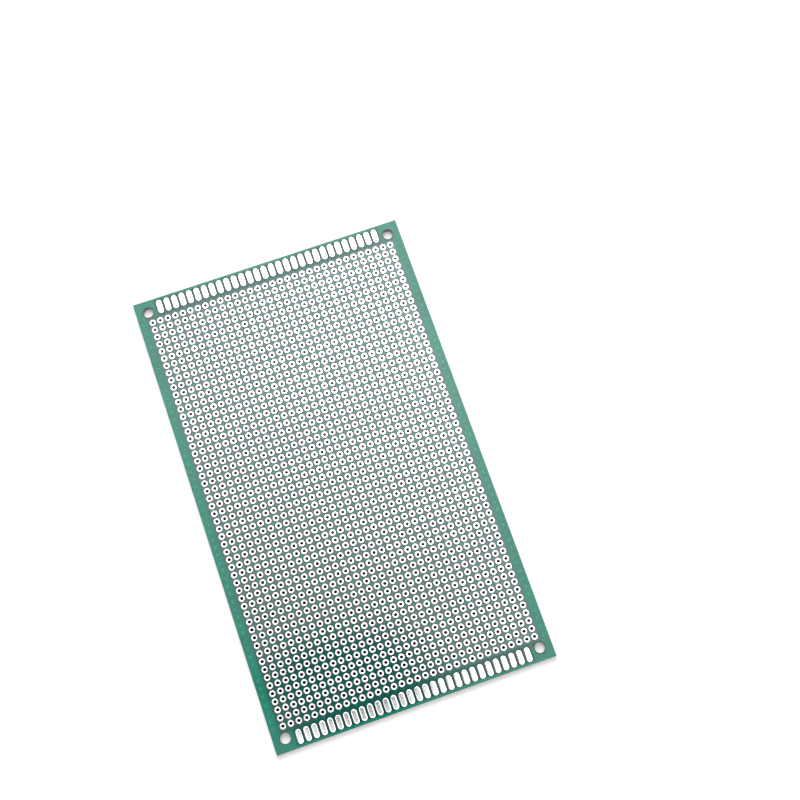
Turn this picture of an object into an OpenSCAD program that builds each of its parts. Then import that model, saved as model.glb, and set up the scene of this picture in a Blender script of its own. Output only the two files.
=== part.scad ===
// Prototype board: a bare double-sided circuit board that is covered with a grid of plated
// holes for building circuits by hand. Two rows of oblong solder pads run along its short
// ends, and a plated hole near each corner takes a mounting screw.
//
// Millimetres. The board lies flat, front face up, with its origin at the middle of its
// footprint on the plane it rests on. +X runs across the board, +Y along it towards the far
// end, and +Z out of the front face.

/* [Board] */
// Width of the board, across its columns
board_w = 90; // [70:1:130]
// Length of the board, along its rows
board_l = 150; // [60:1:200]
// Thickness of the bare glass-epoxy laminate
laminate_t = 1.5; // [0.8:0.1:2.4]
// Ripple that the glass cloth leaves in the faces, from one column of holes to the next
ripple = 0.002; // [0.001:0.001:0.005]
// Thickness of the green solder mask on each face
mask_t = 0.03; // [0.02:0.005:0.05]
// Width of the bare ring that the mask leaves around each pad
mask_gap = 0.075; // [0.05:0.005:0.1]

/* [Tinned copper] */
// Height of each pad's tin above the laminate
pad_h = 0.06; // [0.04:0.005:0.12]
// Thickness of the copper and tin on the wall of each plated hole
plating_t = 0.04; // [0.02:0.005:0.06]

/* [Hole grid] */
// Distance between neighbouring holes, in both directions
pitch = 2.54; // [2.4:0.01:5.08]
// Diameter of each finished hole
hole_d = 1; // [0.7:0.05:1.2]
// Diameter of the round pad at each end of a hole
pad_d = 2; // [1.7:0.05:2.1]
// Least distance from a hole's centre to a long edge
side_margin = 4; // [3:0.1:12]
// Least distance from a hole's centre to a short edge
end_margin = 7.5; // [7.3:0.1:20]

/* [Edge pads] */
// Width of each oblong pad along the short edges
edge_pad_w = 1.8; // [1.2:0.05:2.1]
// Length of each oblong pad, over its round ends
edge_pad_l = 4.45; // [2.5:0.05:4.8]
// Distance from the short edge to the pads
edge_pad_inset = 0.95; // [0.3:0.05:1]

/* [Mounting holes] */
// Diameter of each finished mounting hole
mount_hole_d = 3.2; // [2.2:0.1:3.3]
// Distance from a mounting hole's centre to each of its two nearest edges
mount_inset = 4; // [3:0.1:4.1]
// Width of the tinned ring around a mounting hole
mount_ring_w = 0.1; // [0.1:0.05:0.25]
// Least gap between a mounting hole's ring and the nearest edge pad
mount_clearance = 1.2; // [0.5:0.1:2]

/* [Hidden] */
$fn = 24;
// The pads stand proud of the mask on both faces, and the back ones carry the board
laminate_bottom = pad_h;
laminate_top = pad_h + laminate_t;

hole_r = hole_d / 2;
pad_r = pad_d / 2;
mount_hole_r = mount_hole_d / 2;
mount_ring_r = mount_hole_r + mount_ring_w;

// As many holes as the margins allow, centred on the board
columns = floor((board_w - 2 * side_margin) / pitch) + 1;
rows = floor((board_l - 2 * end_margin) / pitch) + 1;
function column_x(c) = (c - (columns + 1) / 2) * pitch;
function row_y(r) = ((rows + 1) / 2 - r) * pitch;

// As many edge pads as fit between two mounting holes, on the same pitch as the holes
edge_pad_room = board_w - 2 * (mount_inset + mount_ring_r + mount_clearance) - edge_pad_w;
edge_pads_per_row = floor(edge_pad_room / pitch) + 1;
function edge_pad_x(p) = (p - (edge_pads_per_row + 1) / 2) * pitch;
edge_pad_y = board_l / 2 - edge_pad_inset - edge_pad_l / 2;

mount_x = board_w / 2 - mount_inset;
mount_y = board_l / 2 - mount_inset;

// The field of holes ends halfway between its outer pads and what lies beyond them. In it
// the board runs in bands, one for each column, and every other band lies a ripple higher.
field_y = (row_y(1) + pad_r + min(mount_y - mount_ring_r, edge_pad_y - edge_pad_l / 2)) / 2;
function band_left(c) = c == 1 ? -board_w / 2 : column_x(c) - pitch / 2;
function band_lift(c) = (1 + c % 2) * ripple;

FAR = 1;
NEAR = -1;

function two_digits(n) = str(n < 10 ? "0" : "", n);
function column_name(c) = str("plated_holes_column_", two_digits(c));

// Places of what repeats

module at_holes(c) {
    for (r = [1 : rows])
        translate([column_x(c), row_y(r)]) children();
}

module at_mounts(end) {
    for (x = [-mount_x, mount_x])
        translate([x, end * mount_y]) children();
}

module at_edge_pads(end) {
    for (p = [1 : edge_pads_per_row])
        translate([edge_pad_x(p), end * edge_pad_y]) children();
}

// Outlines

module band_outline(c) {
    right = c == columns ? board_w / 2 : column_x(c) + pitch / 2;
    translate([band_left(c), -field_y]) square([right - band_left(c), 2 * field_y]);
}

module end_outline(end) {
    depth = board_l / 2 - field_y;
    translate([0, end * (field_y + depth / 2)]) square([board_w, depth], center = true);
}

// An oblong with round ends, which stands along Y
module oblong(w, l) {
    square([w, l - w], center = true);
    for (end = [NEAR, FAR])
        translate([0, end * (l - w) / 2]) circle(d = w);
}

// Sub-parts

// Glass-epoxy sheet, drilled wide enough for the plating
module laminate() {
    color("#b9bd98")
        translate([0, 0, laminate_bottom]) {
            for (c = [1 : columns])
                translate([0, 0, band_lift(c)])
                    linear_extrude(laminate_t)
                        difference() {
                            band_outline(c);
                            at_holes(c) circle(r = hole_r + plating_t);
                        }
            for (end = [NEAR, FAR])
                linear_extrude(laminate_t)
                    difference() {
                        end_outline(end);
                        at_mounts(end) circle(r = mount_hole_r + plating_t);
                    }
        }
}

// Green lacquer on one face, with a window around each pad
module solder_mask(z) {
    color("#0d5c2c")
        translate([0, 0, z]) {
            for (c = [1 : columns])
                translate([0, 0, band_lift(c)])
                    linear_extrude(mask_t)
                        difference() {
                            band_outline(c);
                            at_holes(c) circle(r = pad_r + mask_gap);
                        }
            for (end = [NEAR, FAR])
                linear_extrude(mask_t)
                    difference() {
                        end_outline(end);
                        at_mounts(end) circle(r = mount_ring_r + mask_gap);
                        at_edge_pads(end)
                            oblong(edge_pad_w + 2 * mask_gap, edge_pad_l + 2 * mask_gap);
                    }
        }
}

// Copper and tin around one hole: a barrel through the laminate, with a land on each of its
// faces. The tin stands highest around the hole and thins out towards the land's rim.
module plated_hole(bore_r, land_r) {
    barrel_r = bore_r + plating_t;
    rotate_extrude()
        polygon([
            [bore_r, 0], [land_r, laminate_bottom],
            [barrel_r, laminate_bottom], [barrel_r, laminate_top],
            [land_r, laminate_top], [bore_r, laminate_top + pad_h]
        ]);
}

// One column of the grid: its plated holes stand apart from each other
module plated_holes_column(c) {
    color("#d4d6da")
        translate([0, 0, band_lift(c)])
            at_holes(c) plated_hole(hole_r, pad_r);
}

module mounting_hole_liners() {
    color("#d4d6da")
        for (end = [NEAR, FAR])
            at_mounts(end) plated_hole(mount_hole_r, mount_ring_r);
}

// Tinned pads in a row along a short end, on one face
module edge_pads(end, z) {
    color("#d4d6da")
        translate([0, 0, z])
            at_edge_pads(end) linear_extrude(pad_h) oblong(edge_pad_w, edge_pad_l);
}

laminate();
solder_mask(laminate_top);  // solder_mask_front
solder_mask(laminate_bottom - mask_t);  // solder_mask_back
edge_pads(FAR, laminate_top);  // edge_pads_front_far
edge_pads(NEAR, laminate_top);  // edge_pads_front_near
edge_pads(FAR, 0);  // edge_pads_back_far
edge_pads(NEAR, 0);  // edge_pads_back_near
mounting_hole_liners();
for (c = [1 : columns])
    plated_holes_column(c);
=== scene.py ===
"""Looks of the prototype board: tinned pads, glossy solder mask, index numbers, light and camera."""

import math

import bpy
from mathutils import Matrix, Vector


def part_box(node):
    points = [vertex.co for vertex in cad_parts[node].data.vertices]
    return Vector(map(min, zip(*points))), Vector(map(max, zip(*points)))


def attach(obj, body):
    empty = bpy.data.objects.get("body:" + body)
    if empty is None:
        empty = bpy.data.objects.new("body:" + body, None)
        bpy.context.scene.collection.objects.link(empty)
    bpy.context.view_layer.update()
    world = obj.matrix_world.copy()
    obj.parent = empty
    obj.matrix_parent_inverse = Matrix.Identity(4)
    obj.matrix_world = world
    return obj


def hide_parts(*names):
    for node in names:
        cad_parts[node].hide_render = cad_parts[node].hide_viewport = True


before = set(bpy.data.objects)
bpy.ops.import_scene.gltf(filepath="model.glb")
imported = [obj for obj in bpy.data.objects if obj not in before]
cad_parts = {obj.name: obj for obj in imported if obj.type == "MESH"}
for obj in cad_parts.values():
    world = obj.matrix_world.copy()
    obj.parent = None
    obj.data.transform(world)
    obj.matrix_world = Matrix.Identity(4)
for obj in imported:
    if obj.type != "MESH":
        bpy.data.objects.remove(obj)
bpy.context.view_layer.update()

MM = 0.001
TAU = 2 * math.pi
FRONT, BACK = 1, -1

# The grid of holes, as in the part
PITCH = 2.54 * MM
COLUMNS = 33
ROWS = 54
HOLE_R = 0.5 * MM
PLATING_R = 0.54 * MM
PAD_R = 1.0 * MM

# Levels, read from the parts in model.glb
LAMINATE_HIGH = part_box("laminate")[1]
MASK_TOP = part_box("solder_mask_front")[1].z
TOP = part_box("edge_pads_front_far")[1].z
PAD_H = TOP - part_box("edge_pads_front_far")[0].z
RIPPLE = (LAMINATE_HIGH.z - (TOP - PAD_H)) / 2

# The oblong pads along each short end
EDGE_PADS = 30
EDGE_LOW, EDGE_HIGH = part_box("edge_pads_front_far")
EDGE_PAD_W = EDGE_HIGH.x - EDGE_LOW.x - (EDGE_PADS - 1) * PITCH
EDGE_PAD_L = EDGE_HIGH.y - EDGE_LOW.y
EDGE_PAD_Y = (EDGE_LOW.y + EDGE_HIGH.y) / 2

# The ring around each mounting hole
MOUNT_R = 1.7 * MM
MOUNT_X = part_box("mounting_hole_liners")[1].x - MOUNT_R
MOUNT_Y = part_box("mounting_hole_liners")[1].y - MOUNT_R


def column_x(c):
    return (c - (COLUMNS + 1) / 2) * PITCH


def row_y(r):
    return ((ROWS + 1) / 2 - r) * PITCH


def band_lift(c):
    """The glass cloth's ripple: every other column's band lies a little higher."""
    return (1 + c % 2) * RIPPLE


def surface_z(side, lift=0.0):
    """Level of the laminate's face on that side, in a band of that lift."""
    return (TOP - PAD_H if side == FRONT else PAD_H) + lift


# Outer edges of the field of round pads
FIELD_X = column_x(COLUMNS) + PITCH / 2
FIELD_Y = row_y(1) + PITCH / 2

# Where the bare margins begin: beside the outer columns, past the edge pads, and around the
# mounting holes
MARGIN_X = column_x(COLUMNS) + PAD_R + 0.5 * MM
MARGIN_Y = EDGE_HIGH.y + 0.15 * MM
CORNER_X = EDGE_HIGH.x + 0.6 * MM
CORNER_Y = EDGE_LOW.y - 0.3 * MM


# Camera

LENS_MM = 64.2
SENSOR_MM = 36.0
CAMERA_AT = Vector((-0.0128, -0.08468, 0.44221 + TOP))
VIEW_DIRECTION = Vector((0.08594, 0.22284, -0.97106))
VIEW_UP = Vector((0.31931, 0.91709, 0.23872))


def add_camera():
    data = bpy.data.cameras.new("camera")
    data.lens = LENS_MM
    data.sensor_width = SENSOR_MM
    data.clip_start = 0.01
    camera = bpy.data.objects.new("camera", data)
    back = -VIEW_DIRECTION.normalized()
    right = VIEW_UP.cross(back).normalized()
    up = back.cross(right)
    axes = Matrix((right, up, back)).transposed().to_4x4()
    camera.matrix_world = Matrix.Translation(CAMERA_AT) @ axes
    bpy.context.scene.collection.objects.link(camera)
    bpy.context.scene.camera = camera


# Node helpers

def new_material(name):
    material = bpy.data.materials.new(name)
    material.use_nodes = True
    tree = material.node_tree
    return material, tree, tree.nodes["Principled BSDF"]


def feed(tree, socket, value):
    """Links a socket to another node's output, or sets it to a plain value."""
    if isinstance(value, bpy.types.NodeSocket):
        tree.links.new(value, socket)
    else:
        socket.default_value = value


def node(tree, kind, inputs=(), **settings):
    made = tree.nodes.new(kind)
    for key, value in settings.items():
        setattr(made, key, value)
    for key, value in dict(inputs).items():
        feed(tree, made.inputs[key], value)
    return made


def math_of(tree, operation, *values):
    inputs = dict(enumerate(values))
    return node(tree, "ShaderNodeMath", inputs, operation=operation).outputs[0]


def noise(tree, place, scale, detail=2.0, roughness=0.5):
    inputs = {"Vector": place, "Scale": scale, "Detail": detail, "Roughness": roughness}
    return node(tree, "ShaderNodeTexNoise", inputs).outputs["Fac"]


def remap(tree, value, low, high, to_low=0.0, to_high=1.0):
    inputs = {"Value": value, "From Min": low, "From Max": high,
              "To Min": to_low, "To Max": to_high}
    return node(tree, "ShaderNodeMapRange", inputs).outputs["Result"]


def past(tree, value, start, fade=0.4 * MM):
    """0 below the start and 1 above it, with a soft step between."""
    return remap(tree, value, start - fade, start + fade)


def inverse(tree, value):
    return math_of(tree, "SUBTRACT", 1.0, value)


def blend_colours(tree, factor, a, b):
    made = node(tree, "ShaderNodeMix", {0: factor, 6: a, 7: b}, data_type="RGBA")
    return made.outputs[2]


def parts_of(tree, vector):
    return node(tree, "ShaderNodeSeparateXYZ", {"Vector": vector}).outputs


def bump(tree, shader, height, distance, strength=1.0):
    inputs = {"Height": height, "Distance": distance, "Strength": strength}
    tree.links.new(node(tree, "ShaderNodeBump", inputs).outputs["Normal"], shader.inputs["Normal"])


def object_place(tree):
    return node(tree, "ShaderNodeTexCoord").outputs["Object"]


def from_middle(tree, place):
    """Distances from the board's two middle lines, as X and Y."""
    return parts_of(tree, node(tree, "ShaderNodeVectorMath", {0: place},
                               operation="ABSOLUTE").outputs[0])


def flatness(tree):
    """1 on faces that look up or down, 0 on upright ones."""
    facing = node(tree, "ShaderNodeTexCoord").outputs["Normal"]
    return remap(tree, math_of(tree, "ABSOLUTE", parts_of(tree, facing)["Z"]), 0.4, 0.6)


# Materials

MARGIN_GREEN = (0.002, 0.235, 0.160, 1)
FIELD_GREEN = (0.004, 0.098, 0.078, 1)
# The darker green of random blotches in the lacquer, also used for the painted shade at the rims and
# between the edge pads
BLOTCH_AND_SHADE_GREEN = (0.003, 0.045, 0.033, 1)
INK_GREEN = (0.13, 0.42, 0.31, 1)
TIN_BRIGHT = (0.88, 0.88, 0.89, 1)
TIN_DULL = (0.60, 0.59, 0.64, 1)
# The plating down the small holes, painted near-black with the shade that falls inside them
BARREL_SHADE_BROWN = (0.055, 0.032, 0.022, 1)
BARREL_SHADE_DARK = (0.02, 0.015, 0.014, 1)
# A mounting hole's tin: a painted shade down its wall, and its bright ring
LINER_WALL_SHADE = (0.10, 0.098, 0.098, 1)
LINER_RING = (0.95, 0.95, 0.95, 1)
EPOXY_PALE = (0.62, 0.64, 0.50, 1)
EPOXY_FIBRE = (0.38, 0.40, 0.27, 1)
EPOXY_SHADED = (0.02, 0.04, 0.022, 1)
FLOOR_WHITE = (0.86, 0.86, 0.86, 1)
# Painted shade under the grid of small holes
SHADE_CARD_DARK = (0.02, 0.016, 0.014, 1)

# Scale of the noise in each surface, in waves a metre
CLOUD_SCALE = 120
SHEEN_SCALE = 260
BLOTCH_SCALE = 420
PLY_SCALE = 900
STREAK_SCALE = 900
WEAR_SCALE = 1200
FIBRE_SCALE = 1800
GRAIN_SCALE = 2600
# Depth of the grain in the tin and of the fibres in the cut edge
GRAIN_DEPTH = 0.02 * MM

# How far clouds, blotches and pools turn the lacquer to its darker colours; at the rims and in the
# strips between the edge pads this darkening is also a painted shade
CLOUD_SHARE = 0.3
BLOTCH_SHARE = 0.8
POOL_AND_SHADE_SHARE = 0.7
# Where the pooling lacquer and its painted shade begin to fade and where they end, off a round pad
# and off a mounting ring
POOL_AND_SHADE_OFF_PADS = (0.1 * MM, 0.18 * MM)
POOL_AND_SHADE_OFF_MOUNTS = (0.15 * MM, 0.35 * MM)
# How far the strips between the edge pads stay short of the pads' ends
STRIP_INSET = 0.4 * MM
# Half the width of a soft step at the edge of the field, and along the short ends
FIELD_FADE = 0.5 * MM
END_FADE = 0.2 * MM

LACQUER_ROUGHNESS = (0.04, 0.08)
POOL_ROUGHNESS = 0.3
INK_ROUGHNESS = 0.08
LACQUER_SPECULAR = 0.42
TIN_ROUGHNESS = (0.06, 0.12)
LINER_ROUGHNESS = 0.15
BARREL_ROUGHNESS = 0.55
BARREL_METALLIC = 0.4
EPOXY_ROUGHNESS = 0.6
EPOXY_SPECULAR = 0.2


def margins(tree, place):
    """1 in the bare margins and corners of the board, 0 among the pads."""
    away = from_middle(tree, place)
    corner = math_of(tree, "MULTIPLY", past(tree, away["X"], CORNER_X),
                     past(tree, away["Y"], CORNER_Y))
    sides = math_of(tree, "MAXIMUM", past(tree, away["X"], MARGIN_X),
                    past(tree, away["Y"], MARGIN_Y, END_FADE))
    return math_of(tree, "MAXIMUM", corner, sides)


def among_pads(tree, place):
    """1 among the round pads, 0 beyond them."""
    edge = from_middle(tree, place)
    outside = math_of(tree, "MAXIMUM", past(tree, edge["X"], FIELD_X, FIELD_FADE),
                      past(tree, edge["Y"], FIELD_Y, FIELD_FADE))
    return inverse(tree, outside)


def pool(tree, away, rim, reach):
    """1 where the lacquer pools at a rim and a painted shade lies along it, falling to 0 a little
    way off.
    """
    return remap(tree, away, rim + reach[0], rim + reach[1], 1.0, 0.0)


def round_rims(tree, place):
    """The pools and painted shade around the round pads."""
    offsets = []
    for value, nearest in ((parts_of(tree, place)["X"], column_x(1)),
                           (parts_of(tree, place)["Y"], row_y(1))):
        moved = math_of(tree, "SUBTRACT", value, nearest)
        offsets.append(math_of(tree, "WRAP", moved, PITCH / 2, -PITCH / 2))
    spot = node(tree, "ShaderNodeCombineXYZ", {"X": offsets[0], "Y": offsets[1]}).outputs[0]
    away = node(tree, "ShaderNodeVectorMath", {0: spot}, operation="LENGTH").outputs["Value"]
    ring = pool(tree, away, PAD_R, POOL_AND_SHADE_OFF_PADS)
    return math_of(tree, "MULTIPLY", ring, among_pads(tree, place))


def mounting_rims(tree, place):
    """The pools and painted shade around the mounting holes."""
    away = from_middle(tree, place)
    spot = node(tree, "ShaderNodeCombineXYZ",
                {"X": math_of(tree, "SUBTRACT", away["X"], MOUNT_X),
                 "Y": math_of(tree, "SUBTRACT", away["Y"], MOUNT_Y)}).outputs[0]
    off = node(tree, "ShaderNodeVectorMath", {0: spot}, operation="LENGTH").outputs["Value"]
    return pool(tree, off, MOUNT_R, POOL_AND_SHADE_OFF_MOUNTS)


def edge_pad_gaps(tree, place):
    """1 in the narrow strips of lacquer between the edge pads, where a shade is painted, and 0
    elsewhere.
    """
    edge = from_middle(tree, place)
    along = math_of(tree, "SUBTRACT",
                    past(tree, edge["Y"], EDGE_LOW.y + STRIP_INSET, END_FADE),
                    past(tree, edge["Y"], EDGE_HIGH.y - STRIP_INSET, END_FADE))
    return math_of(tree, "MULTIPLY", along, inverse(tree, past(tree, edge["X"], EDGE_HIGH.x)))


def mask_material():
    """Green lacquer. Light gets in under it along the margins, where no pads block the way."""
    material, tree, shader = new_material("solder_mask_green")
    place = object_place(tree)
    colour = blend_colours(tree, margins(tree, place), FIELD_GREEN, MARGIN_GREEN)
    cloud = remap(tree, noise(tree, place, CLOUD_SCALE, 3), 0.35, 0.7, 0.0, CLOUD_SHARE)
    colour = blend_colours(tree, cloud, colour, FIELD_GREEN)
    blotch = remap(tree, noise(tree, place, BLOTCH_SCALE), 0.70, 0.76, 0.0, BLOTCH_SHARE)
    colour = blend_colours(tree, blotch, colour, BLOTCH_AND_SHADE_GREEN)
    # Painted shade along with pooling lacquer: darker rims around the pads and mounting rings, and
    # darker strips between the edge pads
    rims = math_of(tree, "MAXIMUM", round_rims(tree, place), mounting_rims(tree, place))
    pooled_and_shaded = math_of(tree, "MAXIMUM", rims, edge_pad_gaps(tree, place))
    pooled_and_shaded = math_of(tree, "MULTIPLY", pooled_and_shaded, POOL_AND_SHADE_SHARE)
    colour = blend_colours(tree, pooled_and_shaded, colour, BLOTCH_AND_SHADE_GREEN)
    tree.links.new(colour, shader.inputs["Base Color"])
    rough = remap(tree, noise(tree, place, SHEEN_SCALE), 0.3, 0.7, *LACQUER_ROUGHNESS)
    rough = math_of(tree, "MAXIMUM", rough, math_of(tree, "MULTIPLY", rims, POOL_ROUGHNESS))
    tree.links.new(rough, shader.inputs["Roughness"])
    shader.inputs["Specular IOR Level"].default_value = LACQUER_SPECULAR
    thick = math_of(tree, "MULTIPLY", among_pads(tree, place), inverse(tree, rims))
    tree.links.new(thick, shader.inputs["Coat Weight"])
    return material


def ink_material():
    """Index numbers that show through the lacquer as a lighter green."""
    material, tree, shader = new_material("index_ink")
    worn = remap(tree, noise(tree, object_place(tree), WEAR_SCALE), 0.4, 0.65)
    tree.links.new(blend_colours(tree, worn, INK_GREEN, MARGIN_GREEN),
                   shader.inputs["Base Color"])
    shader.inputs["Roughness"].default_value = INK_ROUGHNESS
    shader.inputs["Specular IOR Level"].default_value = LACQUER_SPECULAR
    return material


def tin_material():
    """Levelled tin: each pad a little different, with a faint grain."""
    material, tree, shader = new_material("levelled_tin")
    grain = noise(tree, object_place(tree), GRAIN_SCALE, 3, 0.6)
    each = node(tree, "ShaderNodeNewGeometry").outputs["Random Per Island"]
    shade = math_of(tree, "MULTIPLY", remap(tree, grain, 0.35, 0.7), each)
    tree.links.new(blend_colours(tree, shade, TIN_BRIGHT, TIN_DULL), shader.inputs["Base Color"])
    shader.inputs["Metallic"].default_value = 1.0
    tree.links.new(remap(tree, grain, 0.3, 0.7, *TIN_ROUGHNESS), shader.inputs["Roughness"])
    bump(tree, shader, grain, GRAIN_DEPTH, 0.22)
    return material


def barrel_material():
    """The plating down the holes, painted near-black and brown as the shade inside them."""
    material, tree, shader = new_material("plating_in_the_holes")
    streaks = remap(tree, noise(tree, object_place(tree), STREAK_SCALE), 0.35, 0.65)
    tree.links.new(blend_colours(tree, streaks, BARREL_SHADE_DARK, BARREL_SHADE_BROWN),
                   shader.inputs["Base Color"])
    shader.inputs["Metallic"].default_value = BARREL_METALLIC
    shader.inputs["Roughness"].default_value = BARREL_ROUGHNESS
    return material


def liner_material():
    """The tinned ring of a mounting hole, with a painted shade down its wall."""
    material, tree, shader = new_material("mounting_hole_tin")
    tree.links.new(blend_colours(tree, flatness(tree), LINER_WALL_SHADE, LINER_RING),
                   shader.inputs["Base Color"])
    shader.inputs["Metallic"].default_value = 1.0
    shader.inputs["Roughness"].default_value = LINER_ROUGHNESS
    return material


def epoxy_material():
    """Glass-epoxy: pale along a cut edge, dark where it shows in the slits around the pads."""
    material, tree, shader = new_material("glass_epoxy")
    place = object_place(tree)
    plies = node(tree, "ShaderNodeTexWave",
                 {"Vector": place, "Scale": PLY_SCALE, "Distortion": 3, "Detail": 2},
                 bands_direction="Z").outputs["Fac"]
    fibre = noise(tree, place, FIBRE_SCALE, 3)
    mixed = remap(tree, math_of(tree, "MULTIPLY", plies, fibre), 0.1, 0.5)
    edge = blend_colours(tree, mixed, EPOXY_FIBRE, EPOXY_PALE)
    tree.links.new(blend_colours(tree, flatness(tree), edge, EPOXY_SHADED),
                   shader.inputs["Base Color"])
    shader.inputs["Roughness"].default_value = EPOXY_ROUGHNESS
    shader.inputs["Specular IOR Level"].default_value = EPOXY_SPECULAR
    bump(tree, shader, fibre, GRAIN_DEPTH, 0.5)
    return material


# Meshes

def add_mesh(name, verts, faces, materials):
    mesh = bpy.data.meshes.new(name)
    mesh.from_pydata(verts, [], faces)
    mesh.update()
    for material in materials:
        mesh.materials.append(material)
    made = bpy.data.objects.new(name, mesh)
    bpy.context.scene.collection.objects.link(made)
    return made


def add_piece(name, verts, faces, materials, slot, *replaced):
    piece = add_mesh(name, verts, faces, materials)
    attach(piece, "root")
    if replaced:
        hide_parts(*replaced)
    return piece


HOLE_STEPS = 16
# Shares of the way from the rim of a land to its hole where its skin bends, and the share of
# the tin's height that it has there
LAND_BENDS = ((0.0, 0.0), (0.03, 0.9), (0.1, 0.985), (0.87, 1.0), (1.0, 0.75))


def land_profile(side, lift):
    """(radius, z) points over the tin of a land, from its rim to the edge of its hole."""
    surface = surface_z(side, lift)
    return [(PAD_R + (HOLE_R - PAD_R) * share, surface + side * rise * PAD_H)
            for share, rise in LAND_BENDS]


def plated_hole_profile(lift):
    """A closed outline of one plated hole: over, down through, under, and back up outside."""
    over = land_profile(FRONT, lift)
    under = land_profile(BACK, lift)
    outside = [(PLATING_R, surface_z(side, lift)) for side in (BACK, FRONT)]
    return over + under[::-1] + outside


def add_plated_column(c, tin, barrel):
    """One column of plated holes, each a closed ring with a land on both faces."""
    profile = plated_hole_profile(band_lift(c))
    turns = [(math.cos(TAU * k / HOLE_STEPS), math.sin(TAU * k / HOLE_STEPS))
             for k in range(HOLE_STEPS)]
    barrel_ring = len(LAND_BENDS) - 1
    verts, faces, dark = [], [], []
    for r in range(1, ROWS + 1):
        first = len(verts)
        for radius, z in profile:
            verts.extend((column_x(c) + radius * x, row_y(r) + radius * y, z) for x, y in turns)
        for ring in range(len(profile)):
            a = first + ring * HOLE_STEPS
            b = first + (ring + 1) % len(profile) * HOLE_STEPS
            for k in range(HOLE_STEPS):
                nxt = (k + 1) % HOLE_STEPS
                faces.append((a + k, a + nxt, b + nxt, b + k))
                dark.append(ring == barrel_ring)
    name = "plated_holes_column_%02d" % c
    piece = add_piece("tinned_column_%02d" % c, verts, faces, [tin, barrel], "tin", name)
    piece.data.shade_smooth()
    for polygon, is_dark in zip(piece.data.polygons, dark):
        polygon.material_index = int(is_dark)


OBLONG_STEPS = 12
# Inset of an edge pad's skin from its outline, and the share of the tin's height there
OBLONG_BENDS = ((0.0, 0.0), (0.015 * MM, 0.9), (0.05 * MM, 0.985), (0.4 * MM, 1.0))


def oblong_outline(w, l):
    """Points around an oblong with round ends, anticlockwise, standing along Y."""
    points = []
    for end, start in ((1, 0.0), (-1, math.pi)):
        for k in range(OBLONG_STEPS + 1):
            a = start + math.pi * k / OBLONG_STEPS
            points.append((w / 2 * math.cos(a), end * (l - w) / 2 + w / 2 * math.sin(a)))
    return points


def add_edge_pads(name, side, end, tin, replaced):
    """The row of closed, slightly crowned oblong pads at one end of one face."""
    verts, faces = [], []
    for p in range(1, EDGE_PADS + 1):
        x = (p - (EDGE_PADS + 1) / 2) * PITCH
        rings = []
        for inset, rise in OBLONG_BENDS:
            z = surface_z(side) + side * rise * PAD_H
            first = len(verts)
            outline = oblong_outline(EDGE_PAD_W - 2 * inset, EDGE_PAD_L - 2 * inset)
            verts.extend((x + px, end * EDGE_PAD_Y + py, z) for px, py in outline)
            rings.append(list(range(first, len(verts))))
        skin = [tuple(reversed(rings[0])), tuple(rings[-1])]
        for outer, inner in zip(rings, rings[1:]):
            for k in range(len(outer)):
                j = (k + 1) % len(outer)
                skin.append((outer[k], outer[j], inner[j], inner[k]))
        faces.extend(skin if side == FRONT else [tuple(reversed(face)) for face in skin])
    piece = add_piece(name, verts, faces, [tin], "tin", replaced)
    piece.data.shade_smooth()


# Index numbers

NUMBER_H = 1.1 * MM
END_NUMBER_H = 0.7 * MM
NUMBER_HALF_THICKNESS = 0.003 * MM
SIDE_NUMBER_X = column_x(COLUMNS) + 2.9 * MM
END_NUMBER_Y = row_y(1) + 1.45 * MM


def number_mesh(text, size):
    data = bpy.data.curves.new("number", "FONT")
    data.body = text
    data.size = size
    data.align_x = "CENTER"
    data.align_y = "CENTER"
    data.resolution_u = 2
    data.extrude = NUMBER_HALF_THICKNESS
    made = bpy.data.objects.new("number", data)
    bpy.context.scene.collection.objects.link(made)
    bpy.context.view_layer.update()
    mesh = bpy.data.meshes.new_from_object(made)
    bpy.data.objects.remove(made)
    return mesh


def number_places():
    """(text, size, x, y, turn) of each plain index number on the front face."""
    for r in range(1, ROWS + 1):
        for x in (-SIDE_NUMBER_X, SIDE_NUMBER_X):
            yield str(r), NUMBER_H, x, row_y(r), math.pi / 2
    for c in range(1, COLUMNS + 1):
        for y in (-END_NUMBER_Y, END_NUMBER_Y):
            yield str(c), END_NUMBER_H, column_x(c), y, 0.0


def add_numbers(ink):
    """Rows are numbered along both long edges, and columns along both short ends."""
    verts, faces = [], []
    for text, size, x, y, turn in number_places():
        mesh = number_mesh(text, size)
        first = len(verts)
        place = Matrix.Translation((x, y, MASK_TOP)) @ Matrix.Rotation(turn, 4, "Z")
        verts.extend(place @ v.co for v in mesh.vertices)
        faces.extend(tuple(first + k for k in p.vertices) for p in mesh.polygons)
        bpy.data.meshes.remove(mesh)
    add_piece("index_numbers", verts, faces, [ink], "solder_mask")


# Light and floor

FLOOR_HALF = 3.0
# The floor's own glow for the camera, which keeps it white around the board, and the less that it
# has under the board, a painted shade that shows in the mounting holes
FLOOR_GLOW = 0.3
SHADED_HOLE_GLOW = 0.24
# The card of painted shade lies on the floor, under the back pads
SHADE_CARD_Z = 0.002 * MM

# The studio: its walls, and a bright panel overhead that grows brighter to the right
SKY_WALLS = 0.34
PANEL_LEFT = 3.0
PANEL_RIGHT = 4.5
PANEL_RISE = (-0.1, 0.15)
PANEL_MIDDLE = (0.04, 0.16)
PANEL_REACH = (0.17, 0.26)
PANEL_FADE = 0.08
# The camera hangs in front of the panel as a dim, slanting oval: its direction from the board,
# its slant, its half width and height, and where the panel fades back in around it, counted in
# those
DIM_DIRECTION = Vector((-0.0116, 0.0527, 1.0)).normalized()
DIM_SLANT = math.radians(-13.5)
DIM_REACH = (0.062, 0.037, 1)
DIM_NEAR = 0.7
DIM_MIDDLE = 1.3
DIM_FAR = 5.5
DIM_LEVEL = 0.02

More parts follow.
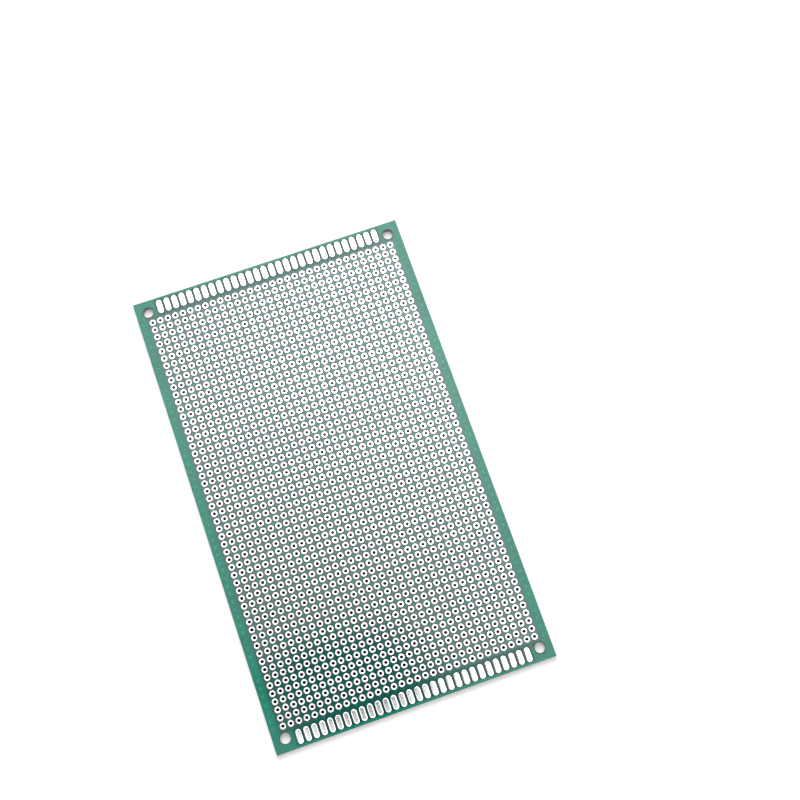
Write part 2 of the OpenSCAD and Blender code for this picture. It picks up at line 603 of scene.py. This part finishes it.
LAMP_AT = Vector((0.2, 0.9, 1.0))
LAMP_SIZE = 0.6
LAMP_WATTS = 11.5


def add_sheet(name, x, y, z):
    corners = [(-x, -y, z), (x, -y, z), (x, y, z), (-x, y, z)]
    sheet = add_mesh(name, corners, [(0, 1, 2, 3)], [])
    material, tree, shader = new_material(name)
    shader.inputs["Roughness"].default_value = 1.0
    shader.inputs["Specular IOR Level"].default_value = 0.0
    sheet.data.materials.append(material)
    return tree, shader


def add_floor():
    """A white floor, which glows a little for the camera, and less under the board as a painted
    shade.
    """
    tree, shader = add_sheet("floor", FLOOR_HALF, FLOOR_HALF, 0)
    shader.inputs["Base Color"].default_value = FLOOR_WHITE
    shader.inputs["Emission Color"].default_value = (1, 1, 1, 1)
    rays = node(tree, "ShaderNodeLightPath").outputs
    seen = math_of(tree, "MAXIMUM", rays["Is Camera Ray"], rays["Is Glossy Ray"])
    edge = from_middle(tree, object_place(tree))
    clear = math_of(tree, "MAXIMUM", past(tree, edge["X"], LAMINATE_HIGH.x, MM),
                    past(tree, edge["Y"], LAMINATE_HIGH.y, MM))
    # Less glow inside the board's outline: a painted shade on the floor under the board
    glow = remap(tree, clear, 0.0, 1.0, SHADED_HOLE_GLOW, FLOOR_GLOW)
    tree.links.new(math_of(tree, "MULTIPLY", seen, glow), shader.inputs["Emission Strength"])


def add_card():
    """A dark card under the grid, a sheet of painted shade, so that the small holes look into the
    dark.
    """
    tree, shader = add_sheet("painted_shade_card", FIELD_X, FIELD_Y, SHADE_CARD_Z)
    shader.inputs["Base Color"].default_value = SHADE_CARD_DARK


def add_world():
    world = bpy.data.worlds.new("studio")
    bpy.context.scene.world = world
    world.use_nodes = True
    tree = world.node_tree
    background = tree.nodes["Background"]
    background.inputs["Color"].default_value = (1, 1, 1, 1)
    direction = node(tree, "ShaderNodeTexCoord").outputs["Generated"]
    spot = node(tree, "ShaderNodeMapping",
                {"Vector": direction, "Location": DIM_DIRECTION,
                 "Rotation": (0, 0, DIM_SLANT), "Scale": DIM_REACH},
                vector_type="TEXTURE").outputs[0]
    away = node(tree, "ShaderNodeVectorMath", {0: spot}, operation="LENGTH").outputs["Value"]
    # The panel fades in by halves: quickly out of the oval, then slowly around it
    core = remap(tree, away, DIM_NEAR, DIM_MIDDLE, DIM_LEVEL, 0.5)
    rim = remap(tree, away, DIM_MIDDLE, DIM_FAR, 0.0, 0.5)
    aim = parts_of(tree, direction)
    level = remap(tree, aim["X"], *PANEL_RISE, PANEL_LEFT, PANEL_RIGHT)
    panel = math_of(tree, "MULTIPLY", level, math_of(tree, "ADD", core, rim))
    beyond = []
    for axis, middle, reach in zip("XY", PANEL_MIDDLE, PANEL_REACH):
        off = math_of(tree, "ABSOLUTE", math_of(tree, "SUBTRACT", aim[axis], middle))
        beyond.append(remap(tree, off, reach, reach + PANEL_FADE))
    walls = math_of(tree, "MAXIMUM", *beyond)
    lit = node(tree, "ShaderNodeMix", {0: walls, 2: panel, 3: SKY_WALLS}).outputs[0]
    seen = node(tree, "ShaderNodeLightPath").outputs["Is Camera Ray"]
    tree.links.new(node(tree, "ShaderNodeMix", {0: seen, 2: lit, 3: 1.0}).outputs[0],
                   background.inputs["Strength"])


def add_lamp():
    data = bpy.data.lights.new("softbox", "AREA")
    data.shape = "SQUARE"
    data.size = LAMP_SIZE
    data.energy = LAMP_WATTS
    lamp = bpy.data.objects.new("softbox", data)
    lamp.location = LAMP_AT
    lamp.rotation_euler = (-LAMP_AT).to_track_quat("-Z", "Y").to_euler()
    bpy.context.scene.collection.objects.link(lamp)


# The scene

mask = mask_material()
tin = tin_material()
barrel = barrel_material()

finishes = {"laminate": epoxy_material(), "solder_mask_front": mask, "solder_mask_back": mask,
            "mounting_hole_liners": liner_material()}
for name, cad_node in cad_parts.items():
    cad_node.data.materials.clear()
    cad_node.data.materials.append(finishes.get(name, tin))
# Flat shading keeps the slope of a liner's wall off its narrow ring
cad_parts["mounting_hole_liners"].data.shade_flat()

for c in range(1, COLUMNS + 1):
    add_plated_column(c, tin, barrel)
for side, side_name in ((FRONT, "front"), (BACK, "back")):
    for end, end_name in ((1, "far"), (-1, "near")):
        add_edge_pads("tinned_edge_%s_%s" % (side_name, end_name), side, end, tin,
                      "edge_pads_%s_%s" % (side_name, end_name))
add_numbers(ink_material())

add_camera()
add_floor()
add_card()
add_world()
add_lamp()
bpy.context.scene.view_settings.view_transform = "Standard"
